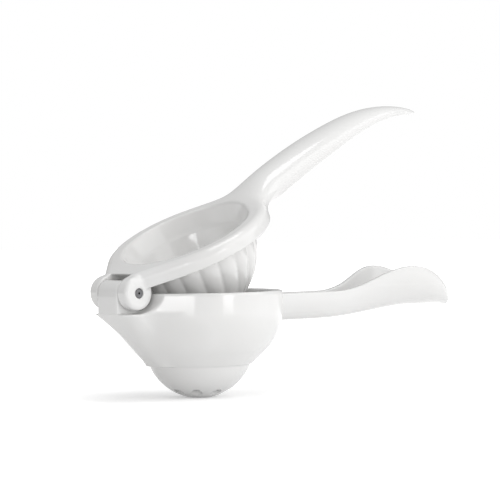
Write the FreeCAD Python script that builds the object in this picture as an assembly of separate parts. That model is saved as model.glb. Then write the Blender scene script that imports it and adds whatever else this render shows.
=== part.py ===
import FreeCAD, Part

import math
import os

from FreeCAD import Vector

# Hinged lemon squeezer, in millimetres.
# The origin is the centre of the small flat under the bowl. Z is up, along the bowl's axis.
# X runs from the hinge towards the ends of the two handles, and Y is along the hinge pin.
# It is modelled as it stands, with the press raised by rest_angle about the pin.

# Bowl
bowl_radius = 42.0
bowl_wall = 3.0
rim_height = 53.2
rim_round = 1.2
shoulder_radius = 28.0
shoulder_bands = 5
cone_angle = 43.0
step_radius = 25.3
step_height = 16.4
step_ledge = 0.7
base_radius = 5.0
dome_bands = 5

# Drain holes through the dome
drain_count = 8
drain_radius = 2.4
drain_ring_radius = 12.8

# Hinge
hinge_setback = 6.6
rest_angle = 25.4
pin_radius = 2.5
pin_running_clearance = 0.05
pin_recess = 0.3
pin_chamfer = 0.4
pin_sheet = 0.55
pin_slit = 0.12
pin_half_turns = 4
knuckle_width = 15.6
knuckle_reach = 8.4
knuckle_top = 6.2
knuckle_round = 5.6
ear_thickness = 7.0
ear_radius = 8.3
ear_round = 1.6
ear_side_clearance = 0.3
pocket_clearance = 1.9
slot_clearance = 0.6

# Wedge under the hinge, from the pockets down to the step
wedge_corner = 7.0
wedge_foot_half_width = 5.0
wedge_foot_lead = 2.6
wedge_foot_corner = 1.5
ear_face_length = 4.0
corner_steps = 5

# Ring of the press
ring_overhang = 0.4
ring_seat_gap = 0.4
rim_clearance = 0.8
ring_round = 4.0
opening_flare = 2.5
opening_round = 1.5

# Pressing cup
juice_gap = 5.8
tip_clearance = 0.2
cup_wall = 3.0
cup_tip_radius = 6.0
cup_arc_rise = 1.0
cup_bands = 6
petal_count = 20
petal_steps = 4
groove_depth = 1.7
groove_fade = 24.0
groove_least = 0.02
cup_stations = 6

# Upper handle, measured from the middle of the ring
upper_handle_length = 169.1
upper_handle_peak = 10.2
upper_handle_peak_place = 113.2
upper_root_drop = 7.3
upper_tip_drop = 13.3
upper_tip_power = 2.47
upper_handle_width = 23.4
upper_handle_depth = 17.5
upper_root_lap = 8.4
upper_root_reach = 26.0
upper_root_width = 44.0
upper_root_depth = 10.6
upper_width_gain = 0.33
upper_depth_loss = 0.26
tip_blunt = 0.5
oval_sides = 24
upper_stations = 14

# Lower handle
lower_handle_length = 170.0
handle_drop = 2.8
handle_depth = 13.9
handle_wall = 2.6
neck_half_width = 9.0
wing_half_width = 17.0
wing_back = 33.0
wing_rise = 12.1
wing_crest_back = 38.0
wing_reach = 52.0
floor_rise = 5.3
floor_crest_back = 28.0
floor_reach = 75.0
tail_edge_drop = 9.4
tail_floor_drop = 2.7
channel_gap = 4.0
tail_blunt = 0.3
trough_sides = 16
trough_power = 0.8
lower_stations = 20
root_overlap = 4.0

# Values that follow
hinge_distance = bowl_radius + hinge_setback
hinge_height = rim_height + ring_seat_gap
ring_radius = bowl_radius + ring_overhang
ring_height = ear_radius
hinge_width = knuckle_width + 2 * ear_side_clearance + 2 * ear_thickness
ear_inner = knuckle_width / 2 + ear_side_clearance
ear_outer = hinge_width / 2
pocket_radius = ear_radius + pocket_clearance
slot_radius = knuckle_reach + slot_clearance
pin_length = hinge_width - 2 * pin_recess
bowl_inner_radius = bowl_radius - bowl_wall
cup_centre = hinge_distance
cup_radius = bowl_inner_radius - juice_gap
cup_depth = hinge_height - step_height - tip_clearance
opening_radius = cup_radius - cup_wall + opening_flare
handle_edge = rim_height - handle_drop
handle_floor = handle_edge - handle_depth
wing_place = lower_handle_length - wing_back
wing_crest_place = lower_handle_length - wing_crest_back
floor_crest_place = lower_handle_length - floor_crest_back
channel_start = bowl_radius + channel_gap
AXIS_Y = Vector(0, 1, 0)
AXIS_Z = Vector(0, 0, 1)


def plan_side(front, half_width, corner, bend, radius, centre):
    """Give one side of a plan that joins a straight-sided block to a round body.

    It goes round the block's front corner, straight on to bend, and from there along the
    tangent to the round body's circle.
    """
    distance = math.hypot(bend - centre, half_width)
    bearing = math.atan2(half_width, bend - centre)
    touch = bearing - math.acos(radius / distance)
    side = []
    for count in range(corner_steps + 1):
        turn = math.pi / 2 * count / corner_steps
        across = half_width - corner * (1 - math.sin(turn))
        side.append((front + corner * (1 - math.cos(turn)), across))
    side.append((bend, half_width))
    side.append((centre + radius * math.cos(touch), radius * math.sin(touch)))
    return side


def closed_plan(side, height):
    """Close a plan's side and its mirror image with straight lines, at a height."""
    points = [Vector(x, y, height) for x, y in side]
    points += [Vector(x, -y, height) for x, y in reversed(side)]
    return Part.makePolygon(points + [points[0]])


def arc_run(centre, radius, start, end, count):
    """Give the points of an arc about centre, from one angle to another in even steps."""
    points = []
    for number in range(count + 1):
        angle = start + (end - start) * number / count
        points.append((centre[0] + radius * math.cos(angle), centre[1] + radius * math.sin(angle)))
    return points


def turned(profile):
    """Turn a closed profile of points, each at a distance off the Z axis and a height, about Z."""
    points = [Vector(x, 0, z) for x, z in profile]
    face = Part.Face(Part.makePolygon(points + [points[0]]))
    return face.revolve(Vector(0, 0, 0), AXIS_Z, 360)


def along(axis_length, radius, middle):
    """Make a cylinder along Y, centred on middle."""
    start = middle - AXIS_Y * (axis_length / 2)
    return Part.makeCylinder(radius, axis_length, start, AXIS_Y)


def bowl_side(inset):
    """Give the bowl's side, inset from its skin, from the shoulder's top to the cone's foot."""
    slope = math.radians(cone_angle)
    turn = math.pi / 2 - slope
    middle_x = bowl_radius - shoulder_radius
    foot_x = step_radius + step_ledge
    run = middle_x + shoulder_radius * math.cos(turn) - foot_x
    middle_z = step_height + run * math.tan(slope) + shoulder_radius * math.sin(turn)
    middle = (middle_x, middle_z)
    shoulder = arc_run(middle, shoulder_radius - inset, 0, -turn, shoulder_bands)
    foot = (foot_x - inset * math.sin(slope), step_height + inset * math.cos(slope))
    return shoulder + [foot]


def dome_side(inset):
    """Give the dome under the step: its sphere's centre height and its radius inside the skin."""
    rise = step_radius ** 2 + step_height ** 2 - base_radius ** 2
    centre = rise / (2 * step_height)
    return centre, math.hypot(base_radius, centre) - inset


def dome_run(inset, start_x, end_x):
    """Give the dome's profile, from one distance off the axis to another."""
    centre, radius = dome_side(inset)
    start = -math.acos(start_x / radius)
    end = -math.acos(end_x / radius)
    return arc_run((0, centre), radius, start, end, dome_bands)


def bowl_outside():
    """Bowl, step and dome as one turned solid, cut flat where it stands."""
    rim = [(0, 0), (0, rim_height), (bowl_radius, rim_height)]
    return turned(rim + bowl_side(0) + dome_run(0, step_radius, base_radius))


def bowl_hollow():
    """The space inside the bowl, open at the rim, whose inner edge is eased."""
    centre, radius = dome_side(bowl_wall)
    step_inner = math.sqrt(radius ** 2 - (centre - step_height) ** 2)
    above = rim_height + rim_round
    mouth = bowl_inner_radius + rim_round
    rim = [(0, above), (mouth, above), (mouth, rim_height)]
    rim.append((bowl_inner_radius, rim_height - rim_round))
    return turned(rim + bowl_side(bowl_wall) + dome_run(bowl_wall, step_inner, 0))


def hinge_wedge():
    """The boat-shaped wedge under the hinge, with the straight band above it up to the rim."""
    shoulder = bowl_side(0)[0][1]
    front = -hinge_distance - knuckle_reach
    bend = -hinge_distance + ear_face_length
    foot_radius = step_radius + step_ledge
    foot_front = -foot_radius - wedge_foot_lead
    foot_bend = foot_front + wedge_foot_lead - wedge_foot_corner / 2
    top = plan_side(front, ear_outer, wedge_corner, bend, bowl_radius, 0)
    bottom = plan_side(
        foot_front, wedge_foot_half_width, wedge_foot_corner, foot_bend, foot_radius, 0
    )
    ends = [closed_plan(bottom, step_height), closed_plan(top, shoulder)]
    wedge = Part.makeLoft(ends, True, True)
    band = Part.Face(closed_plan(top, shoulder)).extrude(AXIS_Z * (rim_height - shoulder))
    return wedge.fuse(band)


def knuckle():
    """The block between the ears, with its rounded top, that carries the pin."""
    front = -hinge_distance - knuckle_reach
    back = -hinge_distance + knuckle_top
    top = hinge_height + knuckle_top
    bottom = bowl_side(0)[0][1]
    block = Part.makeBox(
        back - front, knuckle_width, top - bottom, Vector(front, -knuckle_width / 2, bottom)
    )
    long_edges = []
    for edge in block.Edges:
        box = edge.BoundBox
        if box.YLength > knuckle_width / 2 and box.ZMin > top - 0.01:
            long_edges.append(edge)
    return block.makeFillet(knuckle_round, long_edges)


def bell(x, middle, reach):
    """A smooth hump of height 1 at middle that has died away at reach from it."""
    share = min(1.0, abs(x - middle) / reach)
    return math.cos(share * math.pi / 2) ** 3


def lower_section(x, inset):
    """One trough-shaped cross-section of the lower handle, square to X, inset from its skin."""
    if x < wing_place:
        half = neck_half_width + (wing_half_width - neck_half_width) * bell(x, wing_place, wing_reach)
    else:
        tail = (x - wing_place) / wing_back
        half = wing_half_width * math.sqrt(1 - tail ** 2)
    if x < wing_crest_place:
        edge = handle_edge + wing_rise * bell(x, wing_crest_place, wing_reach)
    else:
        fall = (x - wing_crest_place) / wing_crest_back
        edge = handle_edge + wing_rise - (wing_rise + tail_edge_drop) * fall ** 2
    if x < floor_crest_place:
        floor = handle_floor + floor_rise * bell(x, floor_crest_place, floor_reach)
    else:
        fall = (x - floor_crest_place) / floor_crest_back
        floor = handle_floor + floor_rise - tail_floor_drop * fall ** 2
    half -= inset
    floor += inset
    edge += inset
    points = []
    for count in range(trough_sides + 1):
        angle = math.pi * count / trough_sides
        across = abs(math.cos(angle)) ** trough_power
        down = abs(math.sin(angle)) ** trough_power
        side = 1 if angle < math.pi / 2 else -1
        points.append(Vector(x, side * half * across, edge - (edge - floor) * down))
    return Part.makePolygon(points + [points[0]])


def spaced(start, end, count):
    """Places from start to end that lie closer together towards the end."""
    places = []
    for number in range(count + 1):
        places.append(start + (end - start) * math.sin(math.pi / 2 * number / count))
    return places


def lower_handle():
    """The scooped handle: a lofted trough whose walls rise as two wings before its tail."""
    start = math.sqrt(bowl_radius ** 2 - neck_half_width ** 2) - root_overlap
    end = lower_handle_length - tail_blunt
    skin_places = spaced(start, end, lower_stations)
    skin = Part.makeLoft([lower_section(x, 0) for x in skin_places], True, True)
    scoop_places = spaced(channel_start, end - handle_wall, lower_stations)
    scoop = Part.makeLoft([lower_section(x, handle_wall) for x in scoop_places], True, True)
    return skin.cut(scoop)


def ear_pockets():
    """The pockets beside the knuckle in which the ears turn: round below, open to the front."""
    pockets = []
    for side in (-1, 1):
        depth = 2 * hinge_width
        middle = Vector(-hinge_distance, side * (knuckle_width / 2 + depth / 2), hinge_height)
        pockets.append(along(depth, pocket_radius, middle))
        opening = Part.makeBox(pocket_radius, depth, pocket_radius)
        opening.translate(middle - Vector(pocket_radius, depth / 2, pocket_radius))
        pockets.append(opening)
    return pockets


def drain_holes():
    holes = []
    centre = dome_side(0)[0]
    for count in range(drain_count):
        angle = 2 * math.pi * count / drain_count
        place = Vector(drain_ring_radius * math.cos(angle), drain_ring_radius * math.sin(angle), 0)
        holes.append(Part.makeCylinder(drain_radius, centre, place, AXIS_Z))
    return holes


def bowl_and_lower_handle():
    """The lower moulding: bowl, wedge, knuckle and lower handle in one piece."""
    solid = bowl_outside().fuse([hinge_wedge(), lower_handle()])
    solid = solid.cut(ear_pockets())
    solid = solid.fuse(knuckle())
    bore = pin_radius + pin_running_clearance
    pin_hole = along(2 * hinge_width, bore, Vector(-hinge_distance, 0, hinge_height))
    return solid.cut([bowl_hollow(), pin_hole] + drain_holes())


def ears():
    """The two ears, each a disc along Y with its outer edge rounded."""
    discs = []
    for side in (-1, 1):
        middle = Vector(0, side * (ear_inner + ear_thickness / 2), 0)
        disc = along(ear_thickness, ear_radius, middle)
        outer = []
        for edge in disc.Edges:
            if abs(edge.BoundBox.YMin * side - ear_outer) < 0.01 and edge.BoundBox.YLength < 0.01:
                outer.append(edge)
        discs.append(disc.makeFillet(ear_round, outer))
    return discs


def ring_plate():
    """The thick ring and its arms, with the outer top edge rounded."""
    side = plan_side(0, ear_outer, ear_round, ear_face_length, ring_radius, cup_centre)
    points = [Vector(x, y, 0) for x, y in side]
    mirrored = [Vector(x, -y, 0) for x, y in reversed(side)]
    far = Vector(cup_centre + ring_radius, 0, 0)
    around = Part.Arc(points[-1], far, mirrored[0]).toShape()
    arms = Part.makePolygon(mirrored + points)
    plan = Part.Wire(arms.Edges + [around])
    plate = Part.Face(plan).extrude(AXIS_Z * ring_height)
    top_edges = []
    for edge in plate.Edges:
        box = edge.BoundBox
        if box.ZMin > ring_height - 0.01 and box.XMax > ear_round + 0.01:
            top_edges.append(edge)
    return plate.makeFillet(ring_round, top_edges)


def cup_arc(inset):
    """Give the cup's profile arc: its centre's distance off the axis, and its radius."""
    rim_part = cup_radius ** 2 + cup_arc_rise ** 2
    tip_part = cup_tip_radius ** 2 + (cup_depth + cup_arc_rise) ** 2
    across = (rim_part - tip_part) / (2 * (cup_radius - cup_tip_radius))
    return across, math.hypot(cup_radius - across, cup_arc_rise) - inset


def petal_ring(height):
    """One closed cross-section of the petalled cup, a low arch for each petal."""
    across, radius = cup_arc(0)
    crest = across + math.sqrt(radius ** 2 - (height - cup_arc_rise) ** 2)
    depth = groove_depth * min(1.0, (cup_depth + height) / groove_fade) + groove_least
    points = []
    for count in range(petal_count * petal_steps):
        fall = 2 * (count % petal_steps) / petal_steps - 1
        reach = crest - depth * fall ** 2
        angle = 2 * math.pi * count / (petal_count * petal_steps)
        points.append(Vector(reach * math.cos(angle), reach * math.sin(angle), height))
    return Part.makePolygon(points + [points[0]])


def petalled_cup():
    """The pressing cup's outside, lofted through petal-shaped rings from its tip into the ring."""
    rings = []
    for height in reversed(spaced(ring_height / 2, -cup_depth, cup_stations)):
        rings.append(petal_ring(height))
    return Part.makeLoft(rings, True, True)


def cup_hollow():
    """The space inside the pressing cup, flaring a little to its eased mouth."""
    across, radius = cup_arc(cup_wall)
    bottom = cup_wall - cup_depth
    start = math.asin((bottom - cup_arc_rise) / radius)
    end = math.asin(-cup_arc_rise / radius)
    side = arc_run((across, cup_arc_rise), radius, start, end, cup_bands)
    mouth = opening_radius + opening_round
    above = 2 * ring_height + upper_handle_depth
    rim = [(opening_radius, ring_height - opening_round), (mouth, ring_height), (mouth, above)]
    return turned([(0, bottom)] + side + rim + [(0, above)])


def upper_section(x):
    """One many-sided oval cross-section of the upper handle, at a distance from the ring."""
    root = ring_radius - upper_root_lap
    swell = root + upper_root_reach
    if x < upper_handle_peak_place:
        share = (upper_handle_peak_place - x) / (upper_handle_peak_place - root)
        middle = upper_handle_peak - upper_root_drop * share ** 2
    else:
        share = (x - upper_handle_peak_place) / (upper_handle_length - upper_handle_peak_place)
        middle = upper_handle_peak - upper_tip_drop * share ** upper_tip_power
    if x < swell:
        share = ((swell - x) / upper_root_reach) ** 2
        width = upper_handle_width + (upper_root_width - upper_handle_width) * share
        depth = upper_handle_depth + (upper_root_depth - upper_handle_depth) * share
    else:
        share = (x - swell) / (upper_handle_length - swell)
        taper = math.sqrt(1 - share ** 2)
        width = upper_handle_width * taper * (1 + upper_width_gain * share)
        depth = upper_handle_depth * taper * (1 - upper_depth_loss * share)
    points = []
    for count in range(oval_sides):
        angle = 2 * math.pi * count / oval_sides
        across = width / 2 * math.cos(angle)
        points.append(Vector(x, across, middle + depth / 2 * math.sin(angle)))
    return Part.makePolygon(points + [points[0]])


def upper_handle():
    """The horn-shaped handle, lofted through its ovals from the ring to its blunt tip."""
    root = ring_radius - upper_root_lap
    sections = []
    for place in spaced(root, upper_handle_length - tip_blunt, upper_stations):
        sections.append(upper_section(place))
    handle = Part.makeLoft(sections, True, True)
    seat = Part.makeCylinder(
        ring_radius + rim_clearance, upper_handle_depth, Vector(0, 0, 0), -AXIS_Z
    )
    return handle.cut(seat)


def press_cup_and_upper_handle():
    """The upper moulding: ring, ears, petalled cup and handle, raised to where it rests."""
    cup = petalled_cup()
    handle = upper_handle()
    hollow = cup_hollow()
    for shape in (cup, handle, hollow):
        shape.translate(Vector(cup_centre, 0, 0))
    solid = ring_plate().fuse(ears() + [cup, handle])
    slot = along(2 * ear_inner, slot_radius, Vector(0, 0, 0))
    pin_hole = along(2 * hinge_width, pin_radius, Vector(0, 0, 0))
    solid = solid.cut([hollow, slot, pin_hole])
    return raised(solid)


def raised(solid):
    """Put what is modelled about the pin at the hinge, turned up to the resting angle."""
    solid.rotate(Vector(0, 0, 0), AXIS_Y, -rest_angle)
    solid.translate(Vector(-hinge_distance, 0, hinge_height))
    return solid


def hinge_pin():
    """A coiled spring pin: a steel sheet rolled up, with a thin spiral slit between its turns."""
    pin = along(pin_length, pin_radius, Vector(0, 0, 0))
    ends = []
    for edge in pin.Edges:
        if edge.BoundBox.YLength < 0.01:
            ends.append(edge)
    pin = pin.makeChamfer(pin_chamfer, ends)
    pitch = pin_sheet + pin_slit
    reach = pin_length
    slits = []
    for count in range(pin_half_turns):
        radius = pin_radius - pin_sheet - pitch * count / 2
        shift = 0 if count % 2 == 0 else -pitch / 2
        outer = Part.makeCylinder(
            radius, reach, Vector(shift, -reach / 2, 0), AXIS_Y, 180
        )
        inner = Part.makeCylinder(
            radius - pin_slit, reach, Vector(shift, -reach / 2, 0), AXIS_Y, 360
        )
        half = outer.cut(inner)
        if count % 2:
            half.rotate(Vector(shift, 0, 0), AXIS_Y, 180)
        slits.append(half)
    mouth = Part.makeBox(pin_sheet + pin_slit, reach, pin_slit)
    mouth.translate(Vector(pin_radius - pin_sheet - pin_slit, -reach / 2, -pin_slit))
    slits.append(mouth)
    core_radius = pin_radius - pin_sheet - pitch * pin_half_turns / 2
    core_shift = 0 if pin_half_turns % 2 == 0 else -pitch / 2
    slits.append(along(reach, core_radius, Vector(core_shift, 0, 0)))
    return raised(pin.cut(slits))


def main():
    os.makedirs("parts", exist_ok=True)
    nodes = {
        "bowl_and_lower_handle": bowl_and_lower_handle,
        "press_cup_and_upper_handle": press_cup_and_upper_handle,
        "hinge_pin": hinge_pin,
    }
    for name, make in nodes.items():
        shape = make()
        solids = shape.Solids
        print(name, len(solids), "solid", round(sum(s.Volume for s in solids)), shape.isValid())
        shape = solids[0] if len(solids) == 1 else shape
        shape.exportStep(os.path.join("parts", name + ".step"))


main()
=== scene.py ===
import math

import bpy
from mathutils import Matrix, Vector


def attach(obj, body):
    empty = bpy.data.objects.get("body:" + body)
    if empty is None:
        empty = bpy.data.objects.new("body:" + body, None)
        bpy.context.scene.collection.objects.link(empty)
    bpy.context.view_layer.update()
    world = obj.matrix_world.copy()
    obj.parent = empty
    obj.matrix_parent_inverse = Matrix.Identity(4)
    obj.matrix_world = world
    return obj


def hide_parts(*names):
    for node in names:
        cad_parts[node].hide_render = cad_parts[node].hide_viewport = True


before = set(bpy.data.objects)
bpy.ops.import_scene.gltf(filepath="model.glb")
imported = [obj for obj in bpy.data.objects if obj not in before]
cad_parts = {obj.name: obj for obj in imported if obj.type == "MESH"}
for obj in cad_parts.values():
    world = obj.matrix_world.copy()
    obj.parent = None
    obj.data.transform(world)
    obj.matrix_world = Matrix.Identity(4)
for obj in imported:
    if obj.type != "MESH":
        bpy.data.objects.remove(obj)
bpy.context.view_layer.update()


# The bowl and lower handle: one moulding in white plastic, run into a single tool, with a
# thick wall everywhere. Its bowl stands on a dome with drain holes, and a boat-shaped wedge
# under the hinge ties the knuckle and the ear pockets to the bowl's side.

class Value:
    """A number or vector on its way through a node tree, so that sums of values add nodes."""

    def __init__(self, tree, socket):
        self.tree = tree
        self.socket = socket

    def node(self, kind, settings=None, sockets=None, output=0):
        """Add any node: its type, its settings, and the numbers or values of its sockets."""
        new = self.tree.nodes.new(kind)
        for name, setting in (settings or {}).items():
            if name == "stops":
                for stop, (position, colour) in zip(new.color_ramp.elements, setting):
                    stop.position = position
                    stop.color = colour
            else:
                setattr(new, name, setting)
        for key, value in (sockets or {}).items():
            if isinstance(value, Value):
                self.tree.links.new(value.socket, new.inputs[key])
            else:
                new.inputs[key].default_value = value
        return Value(self.tree, new.outputs[output])

    def math(self, operation, *others):
        sockets = dict(enumerate((self,) + others))
        return self.node("ShaderNodeMath", {"operation": operation}, sockets)

    def __add__(self, other):
        return self.math("ADD", other)

    def __sub__(self, other):
        return self.math("SUBTRACT", other)

    def __mul__(self, other):
        return self.math("MULTIPLY", other)

    def __truediv__(self, other):
        return self.math("DIVIDE", other)

    def __pow__(self, other):
        return self.math("POWER", other)

    def __neg__(self):
        return self.math("MULTIPLY", -1.0)

    def __abs__(self):
        return self.math("ABSOLUTE")

    def __rsub__(self, other):
        return self.math("MULTIPLY_ADD", -1.0, other)

    def __rtruediv__(self, other):
        return self.node("ShaderNodeMath", {"operation": "DIVIDE"}, {0: other, 1: self})

    __radd__ = __add__
    __rmul__ = __mul__

    def least(self, other):
        return self.math("MINIMUM", other)

    def most(self, other):
        return self.math("MAXIMUM", other)

    def within(self, low, high):
        return self.most(low).least(high)

    def joined(self, other, reach):
        """Join two solids' distances, with a fillet in the corner that grows with reach."""
        return self.math("SMOOTH_MIN", other, reach)

    def shared(self, other, reach):
        """Keep what two solids share, with the new edge rounded over."""
        return self.math("SMOOTH_MAX", other, reach)

    def without(self, other, reach):
        """Cut the other solid away, with the cut's edge rounded over."""
        return self.math("SMOOTH_MAX", -other, reach)


def hypotenuse(first, second):
    return (first * first + second * second).math("SQRT")


def rounded_corner(first, second, radius):
    """Distance to a corner with two flat sides, whose edge is rounded to a radius."""
    first = first + radius
    second = second + radius
    outside = hypotenuse(first.most(0.0), second.most(0.0))
    return outside + first.most(second).least(0.0) - radius


def hump(x, middle, reach):
    """A smooth rise from 0 to 1 that starts at reach short of middle and stays at 1 after it."""
    share = ((middle - x) / reach).within(0.0, 1.0)
    return (share * (math.pi / 2)).math("COSINE") ** 3.0


# The geometry trees work in millimetres, Blender in metres
per_metre = 1000.0


def start_tree(name, sizes):
    """Begin a geometry tree whose named inputs are the moulding's sizes in millimetres."""
    tree = bpy.data.node_groups.new(name, "GeometryNodeTree")
    tree.interface.new_socket("Geometry", in_out="OUTPUT", socket_type="NodeSocketGeometry")
    tree.interface.new_socket("Geometry", in_out="INPUT", socket_type="NodeSocketGeometry")
    for label, number in sizes.items():
        kind = "NodeSocketInt" if isinstance(number, int) else "NodeSocketFloat"
        socket = tree.interface.new_socket(label, in_out="INPUT", socket_type=kind)
        socket.default_value = number
    entry = tree.nodes.new("NodeGroupInput")
    values = {label: Value(tree, entry.outputs[label]) for label in sizes}
    place = tree.nodes.new("GeometryNodeInputPosition")
    split = tree.nodes.new("ShaderNodeSeparateXYZ")
    tree.links.new(place.outputs[0], split.inputs[0])
    places = [Value(tree, socket) * per_metre for socket in split.outputs]
    return tree, values, places


def skin_over(distance, low, high, cell):
    """Turn a distance in millimetres into a closed smooth skin, settled onto the exact form."""
    band = 4.0
    settling_passes = 2
    share_settled = 0.7
    longest_step = 0.3
    counts = [int(round((b - a) / cell)) + 1 for a, b in zip(low, high)]
    volume = distance.node("GeometryNodeVolumeCube", sockets={
        "Density": (-distance).within(-band, band),
        "Background": -band,
        "Min": [a / per_metre for a in low],
        "Max": [(a + (count - 1) * cell) / per_metre for a, count in zip(low, counts)],
        "Resolution X": counts[0],
        "Resolution Y": counts[1],
        "Resolution Z": counts[2],
    })
    mesh = volume.node("GeometryNodeVolumeToMesh", sockets={"Volume": volume, "Threshold": 0.0})
    normal = mesh.node("GeometryNodeInputNormal")
    furthest = longest_step / per_metre
    for settling in range(settling_passes):
        back = (distance * (-share_settled / per_metre)).within(-furthest, furthest)
        step = normal.node("ShaderNodeVectorMath", {"operation": "SCALE"}, {
            "Vector": normal, "Scale": back,
        })
        mesh = mesh.node("GeometryNodeSetPosition", sockets={"Geometry": mesh, "Offset": step})
    return mesh.node("GeometryNodeSetShadeSmooth", sockets={"Geometry": mesh})


def end_tree(tree, mesh, material):
    """Close a tree: instances made real, the material set."""
    mesh = mesh.node("GeometryNodeRealizeInstances", sockets={"Geometry": mesh})
    mesh = mesh.node("GeometryNodeSetMaterial", sockets={"Geometry": mesh, "Material": material})
    out = tree.nodes.new("NodeGroupOutput")
    tree.links.new(mesh.socket, out.inputs["Geometry"])


def add_object(name, data):
    thing = bpy.data.objects.new(name, data)
    bpy.context.scene.collection.objects.link(thing)
    return thing


def grow(name, tree, sizes, body, node):
    """Run a tree with its sizes, keep the result as a plain mesh, and let it ride on its body."""
    carrier = add_object(name + "_carrier", bpy.data.meshes.new(name))
    modifier = carrier.modifiers.new("Form", "NODES")
    modifier.node_group = tree
    for item in tree.interface.items_tree:
        if item.in_out == "INPUT" and item.name in sizes:
            modifier[item.identifier] = sizes[item.name]
    depsgraph = bpy.context.evaluated_depsgraph_get()
    mesh = bpy.data.meshes.new_from_object(carrier.evaluated_get(depsgraph))
    mesh.name = name
    carrier.modifiers.remove(modifier)
    bpy.data.objects.remove(carrier)
    piece = add_object(name, mesh)
    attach(piece, body)
    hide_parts(node)


def make_white_plastic():
    """Glossy moulded white, with a slight unevenness in its tint, gloss and surface."""
    material = bpy.data.materials.new("white_plastic")
    material.use_nodes = True
    tree = material.node_tree
    shader = tree.nodes["Principled BSDF"]
    place = Value(tree, tree.nodes.new("ShaderNodeTexCoord").outputs["Object"])
    cloud = place.node("ShaderNodeTexNoise", sockets={
        "Vector": place, "Scale": 18.0, "Detail": 3.0, "Roughness": 0.5,
    })
    ripple = place.node("ShaderNodeTexNoise", sockets={
        "Vector": place, "Scale": 260.0, "Detail": 2.0, "Roughness": 0.4,
    })
    fine = place.node("ShaderNodeTexNoise", sockets={
        "Vector": place, "Scale": 2400.0, "Detail": 2.0, "Roughness": 0.6,
    })
    stops = [(0.3, (0.80, 0.795, 0.785, 1.0)), (0.7, (0.84, 0.84, 0.835, 1.0))]
    tint = cloud.node("ShaderNodeValToRGB", {"stops": stops}, {"Fac": cloud})
    tree.links.new(tint.socket, shader.inputs["Base Color"])
    gloss = 0.06 + cloud * 0.08 + fine * 0.04
    tree.links.new(gloss.socket, shader.inputs["Roughness"])
    relief = ripple * 0.7 + fine * 0.12
    bump = relief.node("ShaderNodeBump", sockets={
        "Strength": 0.035, "Distance": 0.0002, "Height": relief,
    })
    tree.links.new(bump.socket, shader.inputs["Normal"])
    shader.inputs["IOR"].default_value = 1.57
    return material


white_plastic = make_white_plastic()

hinge_x = -48.6
hinge_z = 53.6
lower_sizes = {
    "Bowl radius": 42.0,
    "Wall": 3.0,
    "Rim height": 53.2,
    "Step height": 16.4,
    "Drain holes": 8,
    "Drain radius": 2.4,
    "Drain ring": 12.8,
    "Pin radius": 2.55,
}


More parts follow.
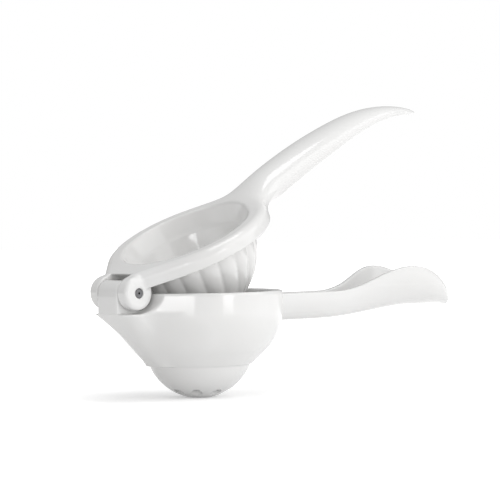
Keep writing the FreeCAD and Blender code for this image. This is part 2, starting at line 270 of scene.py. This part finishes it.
def lower_moulding_tree():
    tree, size, (x, y, z) = start_tree("bowl_and_lower_handle", lower_sizes)
    off_axis = hypotenuse(x, y)
    off_pin = hypotenuse(x - hinge_x, z - hinge_z)
    aside = abs(y)
    wall = size["Wall"]
    step = size["Step height"]

    # Bowl: straight band, shoulder and cone in one sweep, then the dome under the step
    shoulder, shoulder_z, cone_slant = 28.0, 43.5, math.radians(47)
    dome_radius, dome_z, dome_top = 27.41, 26.95, 24.0
    out = off_axis - size["Bowl radius"] + shoulder
    down = shoulder_z - z
    angle = down.math("ARCTAN2", out).within(0.0, cone_slant)
    side = out * angle.math("COSINE") + down * angle.math("SINE") - shoulder
    dome = hypotenuse(off_axis, z - dome_z) - dome_radius
    body = side.shared(step - z, reach=0.8).joined(dome.most(z - dome_top), reach=0.8)

    # Wedge under the hinge: a rounded block that widens on its way up and melts into the bowl
    wedge_height = 27.1
    rise = ((z - step) / wedge_height).within(0.0, 1.0)
    belly = rise * (1.0 - rise)

    def foot_to_top(foot, top):
        """A size of the wedge that runs evenly from its foot to its top."""
        return rise * (top - foot) + foot

    front = foot_to_top(-28.6, -56.9) - x
    inner = x - foot_to_top(-19.0, -23.4)
    flank = aside - foot_to_top(5.0, 15.1)
    bend = foot_to_top(-26.75, -44.6)
    flare = foot_to_top(1.082, 0.775)
    web = flank * flare.math("COSINE") - (x - bend) * flare.math("SINE")
    sides = flank.joined(web, reach=foot_to_top(14.0, 5.0))
    wedge = rounded_corner(front, sides, radius=foot_to_top(1.5, 7.0) + belly * 14.0)
    wedge = wedge.shared(inner, reach=10.0).most(step - z)
    body = body.joined(wedge, reach=belly * 28.0)

    # Lower handle: a trough whose walls rise as two wings before its tail
    neck_x, neck_half, tail_x, tail_run = 36.0, 9.0, 137.0, 32.6
    wing_x, wing_run, wing_spread, wing_lift = 132.0, 52.0, 8.0, 12.1
    edge_z, edge_run, edge_drop = 50.4, 38.0, 21.5
    floor_z, floor_x, floor_run, floor_lift = 36.5, 142.0, 75.0, 5.3
    sag_x, sag_run, sag = 134.0, 36.0, 4.6
    scoop_wall, scoop_x, scoop_run = 2.6, 60.0, 14.0
    fullness, end_run = 2.5, 33.0
    edge = hump(x, wing_x, wing_run) * wing_lift + edge_z
    edge = edge - ((x - wing_x) / edge_run).within(0.0, 1.5) ** 2.0 * edge_drop

    def trough(inset):
        """The trough's outside, or the scoop in it when that is set in by a wall.

        Its oval share of 1 is turned into a distance by its steepness; small limits keep
        the divisions away from zero.
        """
        half = hump(x, tail_x, wing_run) * wing_spread + (neck_half - inset)
        floor = hump(x, floor_x, floor_run) * floor_lift + (floor_z + inset)
        floor = floor - ((x - sag_x) / sag_run).within(0.0, 1.5) ** 2.0 * sag
        top = edge + inset
        depth = (top - floor).most(0.6)
        sunk = (top - z).most(0.0) / depth
        ends = ((x - tail_x) / (tail_run - inset)).within(0.0, 1.4)
        if inset:
            ends = ends.most(((scoop_x - x) / scoop_run).within(0.0, 1.4))
        across = hypotenuse(y / half, ends)
        total = across ** fullness + sunk ** fullness
        share = total ** (1.0 / fullness)
        slope = hypotenuse(y / half / half, ends / end_run) / across.most(0.05)
        power = fullness - 1.0
        steep = hypotenuse(across ** power * slope, sunk ** power / depth)
        steep = steep * total.most(0.001) ** (1.0 / fullness - 1.0)
        return (share - 1.0) / steep.most(0.02)

    handle = trough(0.0).shared(z - edge, reach=0.8).most(neck_x - x)
    handle = handle.without(trough(scoop_wall), reach=0.8)
    body = body.joined(handle, reach=5.0)
    body = body.shared(z - size["Rim height"], reach=1.4).joined(handle, reach=0.4)

    # Ear pockets beside the knuckle, then the knuckle that carries the pin
    pocket_radius, knuckle_half = 10.2, 7.8
    knuckle_x, knuckle_reach, knuckle_top, knuckle_foot = -49.65, 7.25, 59.8, 43.0
    pocket = off_pin - pocket_radius
    pocket = pocket.least((x - hinge_x).most(hinge_z - pocket_radius - z))
    body = body.without(pocket.most(knuckle_half - aside), reach=0.6)
    block = rounded_corner(abs(x - knuckle_x) - knuckle_reach, z - knuckle_top, radius=5.6)
    block = block.shared(aside - knuckle_half, reach=1.0).most(knuckle_foot - z)
    body = body.joined(block, reach=0.4)

    # The bowl's hollow, the pin's bore, the drain holes and the flat that it stands on
    basin_top = 20.0
    hollow = (side + wall).most(step - z)
    basin = (dome + wall).most(z - basin_top)
    body = body.without(hollow.joined(basin, reach=1.5), reach=2.0)
    body = body.without(off_pin - size["Pin radius"], reach=0.3)
    gap = 2 * math.pi / size["Drain holes"]
    turned = y.math("ARCTAN2", x)
    turned = turned - (turned / gap).math("ROUND") * gap
    outward = off_axis * turned.math("COSINE") - size["Drain ring"]
    hole = hypotenuse(outward, off_axis * turned.math("SINE")) - size["Drain radius"]
    body = body.without(hole.most(z - basin_top), reach=0.4).most(-z)

    mesh = skin_over(body, low=(-60, -44, -2), high=(172, 44, 66), cell=0.75)
    end_tree(tree, mesh, white_plastic)
    return tree


grow("lower_moulding", lower_moulding_tree(), lower_sizes, body="lower",
     node="bowl_and_lower_handle")


# The press cup and upper handle: the second moulding, in the same white plastic. A thick ring
# with two ears at the hinge carries the petalled cup, and the horn-shaped handle runs out of
# the ring's far side. It is drawn flat with the pin at the origin, then raised about the pin.

rest_angle = math.radians(25.4)
upper_sizes = {
    "Ring radius": 42.35,
    "Ring height": 8.3,
    "Petals": 20,
    "Groove depth": 1.2,
    "Wall": 3.0,
    "Pin radius": 2.5,
}


def upper_moulding_tree():
    tree, size, (x, y, z) = start_tree("press_cup_and_upper_handle", upper_sizes)
    centre = -hinge_x
    off_axis = hypotenuse(x - centre, y)
    off_pin = hypotenuse(x, z)
    aside = abs(y)
    wall = size["Wall"]

    # Ring and arms: the circle, and straight arms that leave it for the ears
    ear_half, slot_half = 15.1, 8.1
    arm_x, arm_end, flare = 4.0, 18.4, math.radians(45.4)
    outward = aside - ear_half
    beyond = x - arm_end
    splay = outward * math.cos(flare) - (x - arm_x) * math.sin(flare)
    arms = splay.most(beyond).least(outward.most(beyond))
    plan = (off_axis - size["Ring radius"]).least(arms).most(-x)
    plate = rounded_corner(plan, z - size["Ring height"], radius=4.0).shared(-z, reach=0.7)

    # Ears at the hinge
    ear_radius = 8.3
    ears = rounded_corner(off_pin - ear_radius, outward, radius=2.0).most(slot_half - aside)
    body = plate.joined(ears, reach=1.5)

    # Upper handle: an oval horn that thickens, bows and thins to its tip
    root, swell, peak, tip = 82.6, 108.6, 161.8, 217.2
    peak_z, root_drop, tip_drop, tip_curl = 10.2, 7.3, 13.3, 2.47
    swell_half, tip_widening, root_spread = 11.7, 0.33, 10.3
    swell_thick, tip_thinning, root_thinning = 8.75, 0.26, 3.45
    horn_run = 109.0
    before = ((peak - x) / (peak - root)).within(0.0, 1.5)
    after = ((x - peak) / (tip - peak)).within(0.0, 1.3)
    middle = peak_z - before * before * root_drop - after ** tip_curl * tip_drop
    along = ((x - swell) / (tip - swell)).within(0.0, 1.4)
    spread = ((swell - x) / (swell - root)).within(0.0, 1.0)
    half = (along * tip_widening + 1.0) * swell_half + spread * spread * root_spread
    thick = (1.0 - along * tip_thinning) * swell_thick - spread * spread * root_thinning
    lift = z - middle
    share = hypotenuse(hypotenuse(y / half, lift / thick), along).most(0.02)
    steep = hypotenuse(hypotenuse(y / half / half, lift / thick / thick), along / horn_run)
    horn = (share - 1.0) * share / steep.most(0.004)
    body = body.joined(horn.most(root - x), reach=8.0)

    # A flat under the handle's root, and the seat under the ring for the bowl's rim
    flat_x, flat_z = 60.0, -2.7
    seat_x, seat_radius = 20.0, 43.2
    body = body.without((z - flat_z).most(flat_x - x), reach=0.8)
    body = body.without((off_axis - seat_radius).most(z).most(seat_x - x), reach=1.4)

    # Petalled cup: an arc swept about the ring's axis, with grooves that fade to its foot
    arc_off, arc_z, arc_radius = 6.926, 1.0, 40.138
    cup_foot, cup_top, fade_run = -37.0, 4.0, 24.0
    gap = 2 * math.pi / size["Petals"]
    turned = y.math("ARCTAN2", x - centre) / gap
    valley = abs(turned - turned.math("ROUND")) * -2.0 + 1.0
    fade = ((z - cup_foot) / fade_run).within(0.0, 1.0)
    sweep = hypotenuse(off_axis + arc_off, z - arc_z) - arc_radius
    cup = sweep + valley * valley * fade * size["Groove depth"]
    cup = cup.shared(cup_foot - z, reach=2.0).most(z - cup_top)
    body = body.joined(cup, reach=0.6)

    # The hollow of the cup, its flared mouth, the knuckle's slot and the pin's bore
    mouth_radius, mouth_slope, mouth_z, slot_radius = 30.3, 0.4, -2.0, 9.0
    to_distance = 0.93
    mouth = (off_axis - mouth_radius - z * mouth_slope) * to_distance
    hollow = (sweep + wall).least(mouth_z - z).shared(mouth, reach=3.0)
    hollow = hollow.shared(wall + cup_foot - z, reach=6.0)
    body = body.without(hollow, reach=1.2)
    body = body.without((off_pin - slot_radius).most(aside - slot_half), reach=0.8)
    body = body.without(off_pin - size["Pin radius"], reach=0.5)

    mesh = skin_over(body, low=(-11, -45, -39), high=(220, 45, 26), cell=0.72)
    mesh = mesh.node("GeometryNodeTransform", sockets={
        "Geometry": mesh,
        "Translation": (hinge_x / per_metre, 0.0, hinge_z / per_metre),
        "Rotation": (0.0, -rest_angle, 0.0),
    })
    end_tree(tree, mesh, white_plastic)
    return tree


grow("upper_moulding", upper_moulding_tree(), upper_sizes, body="press",
     node="press_cup_and_upper_handle")


# The hinge pin: a spring pin rolled from steel strip, pressed through the ears and turning
# in the knuckle. The CAD's own solid is kept, and gets steel with a drawn grain, darkened as
# painted shade.

def make_steel_with_painted_shade():
    material = bpy.data.materials.new("pin_steel")
    material.use_nodes = True
    tree = material.node_tree
    shader = tree.nodes["Principled BSDF"]
    place = Value(tree, tree.nodes.new("ShaderNodeTexCoord").outputs["Object"])
    drawn = place.node("ShaderNodeMapping", sockets={"Vector": place, "Scale": (1.0, 0.05, 1.0)})
    grain = drawn.node("ShaderNodeTexNoise", sockets={
        "Vector": drawn, "Scale": 3000.0, "Detail": 3.0,
    })
    gloss = 0.22 + grain * 0.16
    tree.links.new(gloss.socket, shader.inputs["Roughness"])
    # A near-black base colour: painted shade that stands in for the dark recess round the pin's
    # end
    shader.inputs["Base Color"].default_value = (0.17, 0.17, 0.175, 1.0)
    shader.inputs["Metallic"].default_value = 1.0
    return material


steel = make_steel_with_painted_shade()
for pin_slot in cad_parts["hinge_pin"].material_slots:
    pin_slot.material = steel


# The lamps: a large soft key from the camera's right, two small panels beside the camera that
# draw the two highlights on the bowl's band, and one overhead. Their places are metres to the
# right, to the front and up from the object's middle, as the camera sees it.

azimuth = math.radians(-39.8)
to_right = Vector((math.cos(azimuth), math.sin(azimuth), 0.0))
to_front = Vector((math.sin(azimuth), -math.cos(azimuth), 0.0))
upward = Vector((0.0, 0.0, 1.0))
heart = Vector((0.03, 0.0, 0.07))


def panel(name, right, front, up, width, height, watts):
    """Hang a soft lamp that faces the object's middle."""
    data = bpy.data.lights.new(name, "AREA")
    data.shape = "RECTANGLE"
    data.size = width
    data.size_y = height
    data.energy = watts
    place = heart + to_right * right + to_front * front + upward * up
    turn = (place - heart).normalized().to_track_quat("Z", "Y").to_matrix().to_4x4()
    lamp = add_object(name, data)
    lamp.matrix_world = Matrix.Translation(place) @ turn


panel("key", right=0.86, front=0.36, up=0.40, width=1.3, height=0.85, watts=4.3)
panel("left_panel", right=-0.17, front=0.74, up=0.01, width=0.19, height=0.12, watts=0.42)
panel("right_panel", right=0.50, front=0.62, up=0.01, width=0.20, height=0.12, watts=0.40)
panel("top", right=0.05, front=0.15, up=0.80, width=0.42, height=0.42, watts=1.8)


# The floor: a wide sheet of matt white paper. It has a glow that is seen, also in reflections,
# but casts no light. The glow grows with the distance from the object, so that the sheet
# fades to white round the shadow.

def seen_by(tree, *rays):
    """1 for the rays of these kinds and 0 for all others."""
    paths = tree.nodes.new("ShaderNodeLightPath")
    seen = Value(tree, paths.outputs[rays[0]])
    for ray in rays[1:]:
        seen = seen.most(Value(tree, paths.outputs[ray]))
    return seen


def close_shader(tree, shader, kind):
    """Lead a shader to a new output node of its tree."""
    out = tree.nodes.new(kind)
    tree.links.new(shader.socket, out.inputs["Surface"])


half_side = 4.0
floor_mesh = bpy.data.meshes.new("floor")
floor_mesh.from_pydata([
    (-half_side, -half_side, 0), (half_side, -half_side, 0),
    (half_side, half_side, 0), (-half_side, half_side, 0),
], [], [(0, 1, 2, 3)])
floor = add_object("floor", floor_mesh)

paper = bpy.data.materials.new("paper")
paper.use_nodes = True
paper.node_tree.nodes.clear()
seen = seen_by(paper.node_tree, "Is Camera Ray", "Is Glossy Ray", "Is Transmission Ray")
glow_start, glow_run, least_glow = 0.03, 0.45, 0.35
place = seen.node("ShaderNodeTexCoord", output="Object")
distance = place.node("ShaderNodeVectorMath", {"operation": "LENGTH"}, {0: place}, "Value")
far = ((distance - glow_start) / glow_run).within(0.0, 1.0)
matt = seen.node("ShaderNodeBsdfDiffuse", sockets={"Color": (0.90, 0.90, 0.90, 1.0)})
glow = seen.node("ShaderNodeEmission", sockets={
    "Color": (1.0, 1.0, 1.0, 1.0),
    "Strength": seen * (far * (1.0 - least_glow) + least_glow),
})
both = seen.node("ShaderNodeAddShader", sockets={0: matt, 1: glow})
close_shader(paper.node_tree, both, "ShaderNodeOutputMaterial")
floor_mesh.materials.append(paper)


# The world behind it all: plain white to the camera, and about half as strong as that in the
# light that it casts on the object and in the object's reflections.

cast_light = 0.51
world = bpy.data.worlds.new("studio")
bpy.context.scene.world = world
world.use_nodes = True
world.node_tree.nodes.clear()
seen = seen_by(world.node_tree, "Is Camera Ray")
sky = seen.node("ShaderNodeBackground", sockets={
    "Color": (1.0, 1.0, 1.0, 1.0), "Strength": seen * (1.0 - cast_light) + cast_light,
})
close_shader(world.node_tree, sky, "ShaderNodeOutputWorld")


# The camera: a long lens, nearly level with the rim, that looks past the hinge and is rolled
# a little. It stands off the world's origin, shifted to frame the object as in the photo.

elevation = math.radians(0.95)
roll = math.radians(0.75)
shift_right, shift_up, stand_off = 0.025, 0.0735, 1.3
camera_data = bpy.data.cameras.new("camera")
camera_data.lens = 187.2
camera_data.sensor_width = 36.0
camera_data.clip_end = 20.0
camera = add_object("camera", camera_data)
back = to_front * math.cos(elevation) + upward * math.sin(elevation)
level_up = back.cross(to_right)
image_right = to_right * math.cos(roll) - level_up * math.sin(roll)
image_up = to_right * math.sin(roll) + level_up * math.cos(roll)
spot = image_right * shift_right + image_up * shift_up + back * stand_off
camera.matrix_world = Matrix((
    (image_right.x, image_up.x, back.x, spot.x),
    (image_right.y, image_up.y, back.y, spot.y),
    (image_right.z, image_up.z, back.z, spot.z),
    (0.0, 0.0, 0.0, 1.0),
))
bpy.context.scene.camera = camera
bpy.context.scene.view_settings.view_transform = "Standard"
